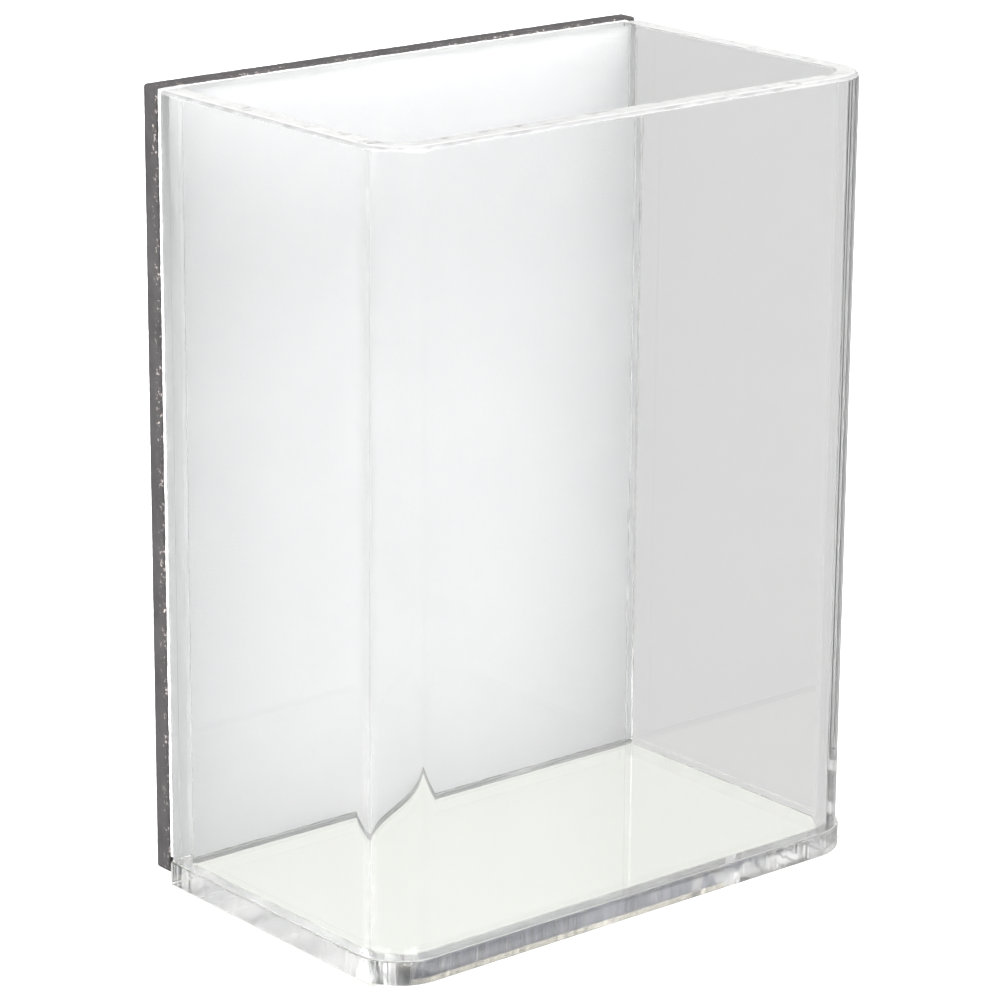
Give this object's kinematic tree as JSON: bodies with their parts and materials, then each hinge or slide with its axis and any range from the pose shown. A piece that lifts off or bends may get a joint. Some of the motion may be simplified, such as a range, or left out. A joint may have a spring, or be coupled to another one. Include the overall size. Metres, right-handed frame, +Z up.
{
  "type": "card deck box",
  "caption": "Clear acrylic open-top box for an upright deck of cards, with a flat magnetic sheet on its back so it stands or sticks to steel.",
  "frame": {"origin": "on the surface the box stands on, under the centre of its bounding box", "axes": "+Z up through the open top, +Y backwards towards the magnet sheet, +X to the right seen from the front"},
  "size_m": [0.0762, 0.0476, 0.1002],
  "materials": {
    "wall_acrylic": "clear polished acrylic sheet",
    "base_acrylic": "clear polished acrylic sheet with sawn edges",
    "back_acrylic": "clear polished acrylic sheet",
    "foam_tape": "white closed-cell foam mounting tape",
    "magnet_rubber": "matte flexible magnet sheet",
    "cured_cement": "cured solvent cement, clear with small bubbles"
  },
  "bodies": {
    "root": {"wall_sleeve": "wall_acrylic", "base_plate": "base_acrylic", "back_panel": "back_acrylic", "foam_tape": "foam_tape", "magnet_sheet": "magnet_rubber", "cement_seam_left": "cured_cement", "cement_seam_right": "cured_cement", "cement_seam_floor": "cured_cement"}
  },
  "joints": []
}
